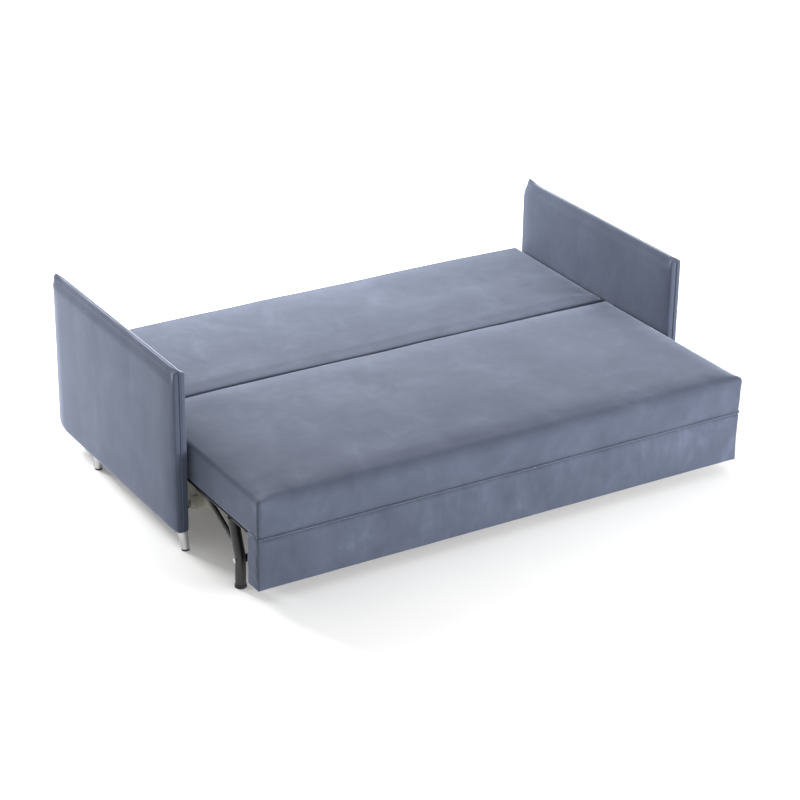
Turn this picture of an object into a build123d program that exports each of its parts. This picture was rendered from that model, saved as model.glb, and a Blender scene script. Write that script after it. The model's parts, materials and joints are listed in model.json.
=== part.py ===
from build123d import *
from math import asin, cos, degrees, radians, sqrt, tan
import os

os.makedirs("parts", exist_ok=True)

# A sofa bed in its unfolded state. Origin: floor, at the centre of the bed's outline.
# +X is the right-hand side seen from the front, the front faces -Y, +Z is up.

# Driving dimensions, mm
BED_FRONT = -725
BED_REAR = 725
BED_TOP = 378
SOFT_BOTTOM = 240
SEAT_HALF = 975
SEAT_REAR = 106
BACK_HALF = 973
BACK_FRONT = 114
NOSE_RADIUS = 60

ARM_INNER = 987
ARM_THICKNESS = 54
ARM_FRONT = -263
ARM_REAR = 720
ARM_BOTTOM = 70
ARM_TOP = 660
ARM_BOARD = 18

BOARD = 20
BOARD_HEIGHT = 50
FRAME_INSET = 20
FRAME_TOP = SOFT_BOTTOM + BOARD_HEIGHT
SLAT_WIDTH = 53
SLAT_THICKNESS = 8
SLAT_BOTTOM = 278
SLATS = 14
SLAT_PITCH = 132
HOLDER_WIDTH = 62
HOLDER_DEPTH = 28
HOLDER_HEIGHT = 14

FASCIA_HALF = 970
FASCIA_FRONT = -722
FASCIA_REAR = -647
FASCIA_BOTTOM = 52
PLY = 16

LINK_LENGTH = 258.9
LINK_RISE = 117.1
LINK_WIDTH = 44
LINK_INNER = 906
LINK_OUTER = 912
LOWER_PIVOT_Z = 86
LOWER_PIVOTS_Y = (-110, 170)
PIN_RADIUS = 6
PIN_CLEARANCE = 0.05
RIVET_GAP = 0.1
BACK_PIVOT = (180, 309)

BOX_HALF = 900
BOX_FRONT = -125
BOX_REAR = 656
BOX_BOTTOM = 70
BOX_TOP = 182

LEG_X = 962
LEG_Y = -574
LEG_RADIUS = 18.5
KNEE_Z = 112
LEG_LEAN = 21
LEG_WALL = 2
LEG_CAP_HEIGHT = 11
LEG_CAP_LIP = 2
LEG_CAP_SPIGOT = 12
BOLT_Z = KNEE_Z - 10
KNEE_BOLT = 5
KNEE_BOLT_HEAD = 9
KNEE_BOLT_HEAD_DEPTH = 4
KNOB_RADIUS = 13
KNOB_DEPTH = 12
BRACE_LOW = (-562, 138)
BRACE_REAR_Y = -330
BRACE_RADIUS = 8.5
BRACE_PLATE = (-350, -275)

FOOT_TOP_RADIUS = 19
FOOT_BOTTOM_RADIUS = 14
GLIDE_HEIGHT = 6

RAIL_INNER = 913
RAIL_STEEL = 4
RAIL_OUTER = 974
RAIL_LOW = 189
RAIL_FRONT = -640
RAIL_REAR = 100
RAIL_SCREW_X = 945
RAIL_SCREWS_Y = (-620, -440, -200, 32, 56)
SCREW_RADIUS = 3
SCREW_DEPTH = 12

MECH_PLATE = 5
MECH_FRONT = -150
MECH_REAR = 260
MECH_BOTTOM = 71
MECH_TOP = 168
MECH_CORNER = 12
PLATE_SCREWS_Y = (-60, 60, 230)
PLATE_SCREW_Z = 140
PIN_GAP = 0.3
PIN_HEAD = 3
PIN_HEAD_RADIUS = 10
TUBE_RADIUS = 11
TUBE_BORE = 8.5

BOARD_REAR = FASCIA_REAR - 1.5
FASCIA_BRACKETS_X = (-700, 0, 700)
CROSS_RAIL_REAR = -600
SEAT_FRAME_FRONT = BED_FRONT + FRAME_INSET
SEAT_FRAME_REAR = SEAT_REAR - FRAME_INSET
BACK_SKIN = 2
BACK_FRAME_BOTTOM = SOFT_BOTTOM + BACK_SKIN
BACK_FRAME_FRONT = 150
BACK_FRAME_REAR = BED_REAR - FRAME_INSET
EAR_RADIUS = 30
BUSH_RADIUS = 9
BUSH_FLANGE = 14
BRACKET_INNER = 977
BRACKET_FRONT = 20
BRACKET_EYE = 22
FASCIA_EDGE = 10
FASCIA_ROUND = 10
FASCIA_BRACKET_WIDTH = 50
FASCIA_BRACKET_BOTTOM = 100

REAR_PANEL_HALF = 980
REAR_PANEL_FRONT = 697
REAR_PANEL_REAR = 719
REAR_PANEL_BOTTOM = 75
REAR_PANEL_TOP = 226
REAR_BRACKETS_X = (-600, 0, 600)
REAR_PANEL_BOARD = 11
REAR_PANEL_EDGE = 8
REAR_BRACKET_WIDTH = 40
REAR_BRACKET_TOP = 150
BACK_RESTS_X = (-820, -300, 300, 820)
BACK_REST = (60, 16, 9)

# Places worked out from them
UPPER_PIVOT_Z = LOWER_PIVOT_Z + LINK_RISE
LINK_REACH = sqrt(LINK_LENGTH**2 - LINK_RISE**2)
UPPER_PIVOTS_Y = [y - LINK_REACH for y in LOWER_PIVOTS_Y]
SWING = 2 * degrees(asin(LINK_REACH / LINK_LENGTH))
FRAME_HALF = SEAT_HALF - FRAME_INSET
SLAT_PLACES = [(i - (SLATS - 1) / 2) * SLAT_PITCH for i in range(SLATS)]


def block(low, high, mode=Mode.ADD):
    """A box between two corners, in the current part."""
    centre = [(a + b) / 2 for a, b in zip(low, high)]
    size = [b - a for a, b in zip(low, high)]
    with Locations(tuple(centre)):
        Box(*size, mode=mode)


def bar_along_x(x_from, x_to, y, z, radius, mode=Mode.ADD):
    """A round bar along X, in the current part."""
    with Locations(((x_from + x_to) / 2, y, z)):
        Cylinder(radius, abs(x_to - x_from), rotation=(0, 90, 0), mode=mode)


def bar_along_z(x, y, z_from, z_to, radius, mode=Mode.ADD):
    """A round bar along Z, in the current part."""
    with Locations((x, y, (z_from + z_to) / 2)):
        Cylinder(radius, z_to - z_from, mode=mode)


def save(piece, name):
    piece.part.label = name
    export_step(piece.part, f"parts/{name}.step")


def save_both(piece, name):
    """Write the right-hand piece and its mirror image on the left."""
    save(piece, f"{name}_right")
    with BuildPart() as left:
        mirror(piece.part, about=Plane.YZ)
    save(left, f"{name}_left")


def save_pair(piece, name):
    """Write the right-hand piece and its mirror image as one group of separate solids."""
    with BuildPart() as pair:
        add(piece.part)
        mirror(piece.part, about=Plane.YZ)
    save(pair, name)


# ---------------------------------------------------------------- arms and feet

ARM_BOARD_IN = ARM_INNER + (ARM_THICKNESS - ARM_BOARD) / 2
ARM_BOARD_OUT = ARM_BOARD_IN + ARM_BOARD
ARM_PAD = 18
ARM_REAR_CUT = (18, 60)
ARM_HEEL = 28
ARM_EDGE = 10
ARM_PAD_FRONT = 12
RAIL_WIDTH = 40
RAIL_HEIGHT = 20
RAIL_BOTTOM = 50
FRONT_RAIL_Y = -60
REAR_RAIL_Y = 660
END_PLATE = 4
END_PLATE_HALF = 38
END_PLATE_TOP = 165
BOLT_RADIUS = 4
BOLT_HEAD = 6.5
BOLT_RISES = (115, 145)

arm_bolt_places = []
for rail_y in (FRONT_RAIL_Y, REAR_RAIL_Y):
    for bolt_z in BOLT_RISES:
        arm_bolt_places.append((rail_y, bolt_z))

# Each foot is splayed: the (x, y) places of its top and bottom centres
FEET = {
    "front": ((1010, -243), (1006, -256)),
    "rear": ((1010, 430), (1006, 443)),
}
STUD_RADIUS = 4
STUD_LENGTH = 30

with BuildPart() as arm_board:
    block(
        (ARM_BOARD_IN, ARM_FRONT + ARM_PAD_FRONT, ARM_BOTTOM),
        (ARM_BOARD_OUT, ARM_REAR - ARM_PAD, ARM_TOP - ARM_PAD),
    )
    stud_hole_top = ARM_BOTTOM + STUD_LENGTH + 2
    for top, bottom in FEET.values():
        bar_along_z(top[0], top[1], ARM_BOTTOM, stud_hole_top, STUD_RADIUS + 0.2, Mode.SUBTRACT)
    for y, z in arm_bolt_places:
        bar_along_x(ARM_BOARD_IN - 1, ARM_BOARD_OUT - 2, y, z, BOLT_RADIUS + 0.1, Mode.SUBTRACT)
save_both(arm_board, "arm_board")

with BuildPart() as arm_pad:
    with BuildSketch(Plane.YZ.offset(ARM_INNER)):
        with BuildLine():
            Polyline(
                (ARM_FRONT, ARM_BOTTOM),
                (ARM_FRONT, ARM_TOP),
                (ARM_REAR - ARM_REAR_CUT[0], ARM_TOP),
                (ARM_REAR, ARM_TOP - ARM_REAR_CUT[1]),
                (ARM_REAR, ARM_BOTTOM),
                close=True,
            )
        make_face()
        rear_low = vertices().group_by(Axis.X)[-1].sort_by(Axis.Y)[0]
        fillet(rear_low, ARM_HEEL)
        fillet(vertices().sort_by(Axis.Y)[-1], ARM_EDGE)
    extrude(amount=ARM_THICKNESS)
    fillet(faces().sort_by(Axis.X)[-1].outer_wire().edges(), ARM_EDGE)
    fillet(faces().sort_by(Axis.X)[0].outer_wire().edges(), ARM_EDGE)
    block(
        (ARM_BOARD_IN, ARM_FRONT + ARM_PAD_FRONT, ARM_BOTTOM - 1),
        (ARM_BOARD_OUT, ARM_REAR - ARM_PAD, ARM_TOP - ARM_PAD),
        Mode.SUBTRACT,
    )
    for y, z in arm_bolt_places:
        bar_along_x(ARM_INNER - 1, ARM_BOARD_IN, y, z, BOLT_RADIUS + 0.5, Mode.SUBTRACT)
save_both(arm_pad, "arm_pad")

for end, (top, bottom) in FEET.items():
    with BuildPart() as foot:
        with BuildSketch(Plane.XY.offset(ARM_BOTTOM)):
            with Locations(top):
                Circle(FOOT_TOP_RADIUS)
        with BuildSketch(Plane.XY.offset(GLIDE_HEIGHT)):
            with Locations(bottom):
                Circle(FOOT_BOTTOM_RADIUS)
        loft()
        bar_along_z(top[0], top[1], ARM_BOTTOM, ARM_BOTTOM + STUD_LENGTH, STUD_RADIUS)
    save_both(foot, f"foot_{end}")

with BuildPart() as foot_glides:
    for top, bottom in FEET.values():
        for side in (1, -1):
            with BuildSketch():
                with Locations((side * bottom[0], bottom[1])):
                    Circle(FOOT_BOTTOM_RADIUS)
            extrude(amount=GLIDE_HEIGHT)
save(foot_glides, "foot_glides")

# ---------------------------------------------------------------- base frame

for end, rail_y in (("front", FRONT_RAIL_Y), ("rear", REAR_RAIL_Y)):
    with BuildPart() as base_rail:
        plate_in = ARM_INNER - END_PLATE
        block(
            (-plate_in, rail_y - RAIL_WIDTH / 2, RAIL_BOTTOM),
            (plate_in, rail_y + RAIL_WIDTH / 2, RAIL_BOTTOM + RAIL_HEIGHT),
        )
        block(
            (-plate_in - 1, rail_y - RAIL_WIDTH / 2 + 2, RAIL_BOTTOM + 2),
            (plate_in + 1, rail_y + RAIL_WIDTH / 2 - 2, RAIL_BOTTOM + RAIL_HEIGHT - 2),
            Mode.SUBTRACT,
        )
        for side in (1, -1):
            near, far = sorted((side * plate_in, side * ARM_INNER))
            block((near, rail_y - END_PLATE_HALF, RAIL_BOTTOM), (far, rail_y + END_PLATE_HALF, END_PLATE_TOP))
            for bolt_z in BOLT_RISES:
                bar_along_x(near, far, rail_y, bolt_z, BOLT_RADIUS + 0.5, Mode.SUBTRACT)
    save(base_rail, f"base_rail_{end}")

with BuildPart() as arm_bolts:
    for side in (1, -1):
        for y, z in arm_bolt_places:
            head_face = side * (ARM_INNER - END_PLATE)
            bar_along_x(head_face - side * 4, head_face, y, z, BOLT_HEAD)
            bar_along_x(head_face, side * (ARM_BOARD_OUT - 3), y, z, BOLT_RADIUS)
save(arm_bolts, "arm_bolts")

# ---------------------------------------------------------------- linen box

box_floor_top = BOX_BOTTOM + 12

with BuildPart() as linen_box_floor:
    block((-BOX_HALF + PLY, BOX_FRONT + PLY, BOX_BOTTOM), (BOX_HALF - PLY, BOX_REAR - PLY, box_floor_top))
save(linen_box_floor, "linen_box_floor")

with BuildPart() as linen_box_front:
    block((-BOX_HALF + PLY, BOX_FRONT, BOX_BOTTOM), (BOX_HALF - PLY, BOX_FRONT + PLY, BOX_TOP))
save(linen_box_front, "linen_box_front")

with BuildPart() as linen_box_rear:
    block((-BOX_HALF + PLY, BOX_REAR - PLY, BOX_BOTTOM), (BOX_HALF - PLY, BOX_REAR, BOX_TOP))
save(linen_box_rear, "linen_box_rear")

with BuildPart() as linen_box_side:
    block((BOX_HALF - PLY, BOX_FRONT, BOX_BOTTOM), (BOX_HALF, BOX_REAR, BOX_TOP))
    for y in PLATE_SCREWS_Y:
        bar_along_x(BOX_HALF - SCREW_DEPTH, BOX_HALF, y, PLATE_SCREW_Z, SCREW_RADIUS + 0.1, Mode.SUBTRACT)
save_both(linen_box_side, "linen_box_side")

# ---------------------------------------------------------------- swing mechanism

with BuildPart() as mechanism_plate:
    with BuildSketch(Plane.YZ.offset(BOX_HALF)):
        with Locations(((MECH_FRONT + MECH_REAR) / 2, (MECH_BOTTOM + MECH_TOP) / 2)):
            RectangleRounded(MECH_REAR - MECH_FRONT, MECH_TOP - MECH_BOTTOM, MECH_CORNER)
        with Locations(*[(y, LOWER_PIVOT_Z) for y in LOWER_PIVOTS_Y]):
            Circle(PIN_RADIUS + RIVET_GAP, mode=Mode.SUBTRACT)
        with Locations(*[(y, PLATE_SCREW_Z) for y in PLATE_SCREWS_Y]):
            Circle(SCREW_RADIUS + 0.3, mode=Mode.SUBTRACT)
    extrude(amount=MECH_PLATE)
save_pair(mechanism_plate, "mechanism_plates")

with BuildPart() as mechanism_screws:
    for side in (1, -1):
        for y in PLATE_SCREWS_Y:
            plate_face = side * (BOX_HALF + MECH_PLATE)
            bar_along_x(side * (BOX_HALF - SCREW_DEPTH), plate_face, y, PLATE_SCREW_Z, SCREW_RADIUS)
            bar_along_x(plate_face, plate_face + side * 0.7, y, PLATE_SCREW_Z, 6)
save(mechanism_screws, "mechanism_screws")

for end, lower_y, upper_y in zip(("front", "rear"), LOWER_PIVOTS_Y, UPPER_PIVOTS_Y):
    with BuildPart() as link:
        with BuildSketch(Plane.YZ.offset(LINK_INNER)):
            with Locations(((lower_y + upper_y) / 2, (LOWER_PIVOT_Z + UPPER_PIVOT_Z) / 2)):
                SlotCenterToCenter(LINK_LENGTH, LINK_WIDTH, rotation=90 + SWING / 2)
            with Locations((lower_y, LOWER_PIVOT_Z), (upper_y, UPPER_PIVOT_Z)):
                Circle(PIN_RADIUS + PIN_CLEARANCE, mode=Mode.SUBTRACT)
        extrude(amount=LINK_OUTER - LINK_INNER)
    save_both(link, f"link_{end}")

# The cross tube is welded between the front links, so both sides swing together
with BuildPart() as cross_tube:
    bar_along_x(-LINK_INNER, LINK_INNER, UPPER_PIVOTS_Y[0], UPPER_PIVOT_Z, TUBE_RADIUS)
    bar_along_x(-LINK_INNER, LINK_INNER, UPPER_PIVOTS_Y[0], UPPER_PIVOT_Z, TUBE_BORE, Mode.SUBTRACT)
save(cross_tube, "cross_tube")

with BuildPart() as lower_pins:
    for side in (1, -1):
        for y in LOWER_PIVOTS_Y:
            bar_along_x(side * BOX_HALF, side * (LINK_OUTER + PIN_GAP), y, LOWER_PIVOT_Z, PIN_RADIUS)
            head_from = LINK_OUTER + PIN_GAP
            bar_along_x(side * head_from, side * (head_from + PIN_HEAD), y, LOWER_PIVOT_Z, PIN_HEAD_RADIUS)
save(lower_pins, "lower_pins")

with BuildPart() as upper_pins:
    for side in (1, -1):
        for y, tail in zip(UPPER_PIVOTS_Y, (12, PIN_GAP)):
            flange_face = RAIL_INNER + RAIL_STEEL
            bar_along_x(side * (LINK_INNER - tail), side * flange_face, y, UPPER_PIVOT_Z, PIN_RADIUS)
            bar_along_x(
                side * flange_face, side * (flange_face + PIN_HEAD), y, UPPER_PIVOT_Z, PIN_HEAD_RADIUS
            )
        tail_from = LINK_INNER - PIN_GAP
        rear_y = UPPER_PIVOTS_Y[1]
        bar_along_x(side * (tail_from - PIN_HEAD), side * tail_from, rear_y, UPPER_PIVOT_Z, PIN_HEAD_RADIUS)
save(upper_pins, "upper_pins")

# ---------------------------------------------------------------- seat rails, legs and fascia

with BuildPart() as seat_rail:
    block(
        (RAIL_INNER, RAIL_FRONT, RAIL_LOW),
        (RAIL_INNER + RAIL_STEEL, RAIL_REAR, SOFT_BOTTOM),
    )
    block(
        (RAIL_INNER, RAIL_FRONT, SOFT_BOTTOM - RAIL_STEEL),
        (RAIL_OUTER, RAIL_REAR, SOFT_BOTTOM),
    )
    flange_out = RAIL_INNER + RAIL_STEEL
    for y in UPPER_PIVOTS_Y:
        bar_along_x(RAIL_INNER, flange_out, y, UPPER_PIVOT_Z, PIN_RADIUS + RIVET_GAP, Mode.SUBTRACT)
    for y in RAIL_SCREWS_Y:
        bar_along_z(RAIL_SCREW_X, y, RAIL_LOW, SOFT_BOTTOM, SCREW_RADIUS + 0.3, Mode.SUBTRACT)
save_both(seat_rail, "seat_rail")

with BuildPart() as rail_screws:
    for side in (1, -1):
        for y in RAIL_SCREWS_Y:
            steels = 2 if y > BRACKET_FRONT else 1
            under = SOFT_BOTTOM - steels * RAIL_STEEL
            bar_along_z(side * RAIL_SCREW_X, y, under, SOFT_BOTTOM + SCREW_DEPTH, SCREW_RADIUS)
            bar_along_z(side * RAIL_SCREW_X, y, under - 3, under, 2 * SCREW_RADIUS)
save(rail_screws, "rail_screws")

rail_under = SOFT_BOTTOM - RAIL_STEEL
lean = tan(radians(LEG_LEAN))
leg_top_y = LEG_Y + (rail_under - KNEE_Z) * lean

# The leg's centre line: upright to the knee, then leaning back, 10 mm past the rail's underside
with BuildLine() as leg_line:
    FilletPolyline(
        (LEG_X, LEG_Y, LEG_CAP_HEIGHT),
        (LEG_X, LEG_Y, KNEE_Z),
        (LEG_X, leg_top_y + 10 * lean, rail_under + 10),
        radius=60,
    )
leg_start = Plane(origin=leg_line.line @ 0, z_dir=leg_line.line % 0)

with BuildPart() as leg:
    with BuildSketch(leg_start):
        Circle(LEG_RADIUS)
        Circle(LEG_RADIUS - LEG_WALL, mode=Mode.SUBTRACT)
    sweep(path=leg_line.line)
    block(
        (LEG_X - 50, leg_top_y - 50, rail_under),
        (LEG_X + 50, leg_top_y + 50, rail_under + 40),
        Mode.SUBTRACT,
    )
    bar_along_x(LEG_X - 50, LEG_X + 50, LEG_Y, BOLT_Z, KNEE_BOLT + 0.1, Mode.SUBTRACT)
save_both(leg, "leg")

with BuildPart() as leg_cap:
    bar_along_z(LEG_X, LEG_Y, 0, LEG_CAP_HEIGHT, LEG_RADIUS + LEG_CAP_LIP)
    fillet(edges().group_by(Axis.Z)[0], LEG_CAP_LIP)
    spigot_top = LEG_CAP_HEIGHT + LEG_CAP_SPIGOT
    bar_along_z(LEG_X, LEG_Y, LEG_CAP_HEIGHT, spigot_top, LEG_RADIUS - LEG_WALL - 0.2)
save_pair(leg_cap, "leg_caps")

with BuildPart() as leg_bolts:
    for side in (1, -1):
        outer = LEG_X + LEG_RADIUS
        inner = LEG_X - LEG_RADIUS
        bar_along_x(side * (inner - KNOB_DEPTH), side * outer, LEG_Y, BOLT_Z, KNEE_BOLT)
        with BuildSketch(Plane.YZ.offset(side * outer)):
            with Locations((LEG_Y, BOLT_Z)):
                RegularPolygon(KNEE_BOLT_HEAD, 6)
        extrude(amount=side * KNEE_BOLT_HEAD_DEPTH)
save(leg_bolts, "leg_bolts")

with BuildPart() as leg_knobs:
    for side in (1, -1):
        inner = side * (LEG_X - LEG_RADIUS)
        bar_along_x(inner - side * KNOB_DEPTH, inner, LEG_Y, BOLT_Z, KNOB_RADIUS)
        bar_along_x(inner - side * KNOB_DEPTH, inner, LEG_Y, BOLT_Z, KNEE_BOLT + RIVET_GAP, Mode.SUBTRACT)
save(leg_knobs, "leg_knobs")

# A round brace from the leg's rear side up to a small plate under the rail
brace_from = Vector(LEG_X, *BRACE_LOW)
brace_to = Vector(LEG_X, BRACE_REAR_Y, rail_under + 1)
with BuildPart() as leg_brace:
    with BuildSketch(Plane(origin=brace_from, z_dir=brace_to - brace_from)):
        Circle(BRACE_RADIUS)
    extrude(amount=(brace_to - brace_from).length)
    block(
        (LEG_X - BRACE_RADIUS, BRACE_PLATE[0], rail_under - 2 * RAIL_STEEL),
        (LEG_X + BRACE_RADIUS, BRACE_PLATE[1], rail_under),
    )
    block(
        (LEG_X - 50, BRACE_REAR_Y - 50, rail_under),
        (LEG_X + 50, BRACE_REAR_Y + 50, rail_under + 20),
        Mode.SUBTRACT,
    )
    with BuildSketch(leg_start):
        Circle(LEG_RADIUS + 0.2)
    sweep(path=leg_line.line, mode=Mode.SUBTRACT)
save_pair(leg_brace, "leg_braces")

with BuildPart() as fascia_board:
    block(
        (-FASCIA_HALF + FASCIA_EDGE, BOARD_REAR - PLY, FASCIA_BOTTOM + 6),
        (FASCIA_HALF - FASCIA_EDGE, BOARD_REAR, SOFT_BOTTOM - 6),
    )
save(fascia_board, "fascia_board")

with BuildPart() as fascia_pad:
    block((-FASCIA_HALF, FASCIA_FRONT, FASCIA_BOTTOM), (FASCIA_HALF, FASCIA_REAR, SOFT_BOTTOM - 0.5))
    fillet(faces().sort_by(Axis.Y)[0].edges(), FASCIA_ROUND)
    block(
        (-FASCIA_HALF + FASCIA_EDGE, BOARD_REAR - PLY, FASCIA_BOTTOM + 6),
        (FASCIA_HALF - FASCIA_EDGE, FASCIA_REAR + 1, SOFT_BOTTOM - 6),
        Mode.SUBTRACT,
    )
save(fascia_pad, "fascia_pad")

with BuildPart() as fascia_brackets:
    for x in FASCIA_BRACKETS_X:
        left, right = x - FASCIA_BRACKET_WIDTH / 2, x + FASCIA_BRACKET_WIDTH / 2
        block((left, BOARD_REAR, FASCIA_BRACKET_BOTTOM), (right, BOARD_REAR + RAIL_STEEL, SOFT_BOTTOM - 6))
        block((left, FASCIA_REAR, rail_under), (right, CROSS_RAIL_REAR, SOFT_BOTTOM))
        block((left, FASCIA_REAR, SOFT_BOTTOM - 10), (right, BOARD_REAR + RAIL_STEEL, rail_under))
save(fascia_brackets, "fascia_brackets")

# ---------------------------------------------------------------- seat section

with BuildPart() as seat_frame_front:
    block((-FRAME_HALF, SEAT_FRAME_FRONT, SOFT_BOTTOM), (FRAME_HALF, SEAT_FRAME_FRONT + BOARD, FRAME_TOP))
save(seat_frame_front, "seat_frame_front")

with BuildPart() as seat_frame_rear:
    block((-FRAME_HALF, SEAT_FRAME_REAR - BOARD, SOFT_BOTTOM), (FRAME_HALF, SEAT_FRAME_REAR, FRAME_TOP))
save(seat_frame_rear, "seat_frame_rear")

with BuildPart() as seat_frame_side:
    block(
        (FRAME_HALF - BOARD, SEAT_FRAME_FRONT + BOARD, SOFT_BOTTOM),
        (FRAME_HALF, SEAT_FRAME_REAR - BOARD, FRAME_TOP),
    )
    for y in RAIL_SCREWS_Y:
        bar_along_z(
            RAIL_SCREW_X, y, SOFT_BOTTOM, SOFT_BOTTOM + SCREW_DEPTH + 1, SCREW_RADIUS + 0.1, Mode.SUBTRACT
        )
save_both(seat_frame_side, "seat_frame_side")

with BuildPart() as seat_cross_rail:
    block(
        (-FRAME_HALF + BOARD, CROSS_RAIL_REAR - 40, SOFT_BOTTOM),
        (FRAME_HALF - BOARD, CROSS_RAIL_REAR, SOFT_BOTTOM + 30),
    )
save(seat_cross_rail, "seat_cross_rail")


def slats(front_face, rear_face):
    """Sprung slats from the front board's inner face to the rear board's."""
    with BuildPart() as row:
        for x in SLAT_PLACES:
            block(
                (x - SLAT_WIDTH / 2, front_face + 2, SLAT_BOTTOM),
                (x + SLAT_WIDTH / 2, rear_face - 2, SLAT_BOTTOM + SLAT_THICKNESS),
            )
    return row


def slat_holders(front_face, rear_face):
    """Plastic cups on both boards' inner faces; each one holds a slat's end."""
    with BuildPart() as cups:
        for x in SLAT_PLACES:
            for near, far in ((front_face, front_face + HOLDER_DEPTH), (rear_face - HOLDER_DEPTH, rear_face)):
                block(
                    (x - HOLDER_WIDTH / 2, near, SLAT_BOTTOM - 3),
                    (x + HOLDER_WIDTH / 2, far, SLAT_BOTTOM - 3 + HOLDER_HEIGHT),
                )
            block(
                (x - SLAT_WIDTH / 2 - 0.2, front_face + 2, SLAT_BOTTOM - 0.2),
                (x + SLAT_WIDTH / 2 + 0.2, rear_face - 2, SLAT_BOTTOM + SLAT_THICKNESS + 0.2),
                Mode.SUBTRACT,
            )
    return cups


seat_slats = slats(SEAT_FRAME_FRONT + BOARD, SEAT_FRAME_REAR - BOARD)
save(seat_slats, "seat_slats")
seat_slat_holders = slat_holders(SEAT_FRAME_FRONT + BOARD, SEAT_FRAME_REAR - BOARD)
save(seat_slat_holders, "seat_slat_holders")

with BuildPart() as seat_cushion:
    block((-SEAT_HALF, BED_FRONT, SOFT_BOTTOM), (SEAT_HALF, SEAT_REAR, BED_TOP))
    fillet(edges().filter_by(Axis.Z), 22)
    fillet(faces().sort_by(Axis.Z)[-1].outer_wire().edges(), 16)
    block(
        (-FRAME_HALF, SEAT_FRAME_FRONT, SOFT_BOTTOM - 1),
        (FRAME_HALF, SEAT_FRAME_REAR, FRAME_TOP),
        Mode.SUBTRACT,
    )
save(seat_cushion, "seat_cushion")

# ---------------------------------------------------------------- back section and its hinges

PIVOT_Y, PIVOT_Z = BACK_PIVOT

# A steel plate on each side, bolted under the seat rail, carries the back's pivot pin
with BuildPart() as hinge_bracket:
    with BuildSketch(Plane.YZ.offset(BRACKET_INNER)):
        with BuildLine():
            Polyline(
                (BRACKET_FRONT, rail_under - RAIL_STEEL),
                (BRACKET_FRONT, SOFT_BOTTOM + 6),
                (PIVOT_Y - 0.7 * BRACKET_EYE, PIVOT_Z + 0.7 * BRACKET_EYE),
                (PIVOT_Y + 0.8 * BRACKET_EYE, PIVOT_Z - 0.6 * BRACKET_EYE),
                (RAIL_REAR, rail_under - RAIL_STEEL),
                close=True,
            )
        make_face()
        with Locations(BACK_PIVOT):
            Circle(BRACKET_EYE)
            Circle(PIN_RADIUS + RIVET_GAP, mode=Mode.SUBTRACT)
    extrude(amount=RAIL_STEEL)
    block(
        (RAIL_INNER + RAIL_STEEL, BRACKET_FRONT, rail_under - RAIL_STEEL),
        (BRACKET_INNER + RAIL_STEEL, RAIL_REAR, rail_under),
    )
    for y in RAIL_SCREWS_Y:
        if y > BRACKET_FRONT:
            bar_along_z(
                RAIL_SCREW_X, y, rail_under - RAIL_STEEL, rail_under, SCREW_RADIUS + 0.3, Mode.SUBTRACT
            )
save_pair(hinge_bracket, "hinge_brackets")

with BuildPart() as back_pins:
    for side in (1, -1):
        outer = BRACKET_INNER + RAIL_STEEL
        bar_along_x(side * (FRAME_HALF - BOARD + 2), side * outer, PIVOT_Y, PIVOT_Z, PIN_RADIUS)
        bar_along_x(side * outer, side * (outer + 2), PIVOT_Y, PIVOT_Z, PIN_HEAD_RADIUS)
save(back_pins, "back_pins")

with BuildPart() as back_bush:
    bar_along_x(FRAME_HALF - BOARD, BACK_HALF, PIVOT_Y, PIVOT_Z, BUSH_RADIUS)
    bar_along_x(BACK_HALF, BRACKET_INNER - 0.5, PIVOT_Y, PIVOT_Z, BUSH_FLANGE)
    bar_along_x(
        FRAME_HALF - BOARD - 1, BRACKET_INNER, PIVOT_Y, PIVOT_Z, PIN_RADIUS + PIN_CLEARANCE, Mode.SUBTRACT
    )
save_pair(back_bush, "back_bushes")

with BuildPart() as back_frame_side:
    with BuildSketch(Plane.YZ.offset(FRAME_HALF - BOARD)):
        with Locations(((BACK_FRAME_FRONT + BACK_FRAME_REAR) / 2, (BACK_FRAME_BOTTOM + FRAME_TOP) / 2)):
            Rectangle(BACK_FRAME_REAR - BACK_FRAME_FRONT, FRAME_TOP - BACK_FRAME_BOTTOM)
        with Locations(BACK_PIVOT):
            Circle(EAR_RADIUS)
            Circle(BUSH_RADIUS + 0.1, mode=Mode.SUBTRACT)
    extrude(amount=BOARD)
save_both(back_frame_side, "back_frame_side")

with BuildPart() as back_frame_front:
    block(
        (-FRAME_HALF + BOARD, BACK_FRAME_FRONT, BACK_FRAME_BOTTOM),
        (FRAME_HALF - BOARD, BACK_FRAME_FRONT + BOARD, FRAME_TOP),
    )
save(back_frame_front, "back_frame_front")

with BuildPart() as back_frame_rear:
    block(
        (-FRAME_HALF + BOARD, BACK_FRAME_REAR - BOARD, BACK_FRAME_BOTTOM),
        (FRAME_HALF - BOARD, BACK_FRAME_REAR, FRAME_TOP),
    )
save(back_frame_rear, "back_frame_rear")

back_slats = slats(BACK_FRAME_FRONT + BOARD, BACK_FRAME_REAR - BOARD)
save(back_slats, "back_slats")
back_slat_holders = slat_holders(BACK_FRAME_FRONT + BOARD, BACK_FRAME_REAR - BOARD)
save(back_slat_holders, "back_slat_holders")

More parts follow.
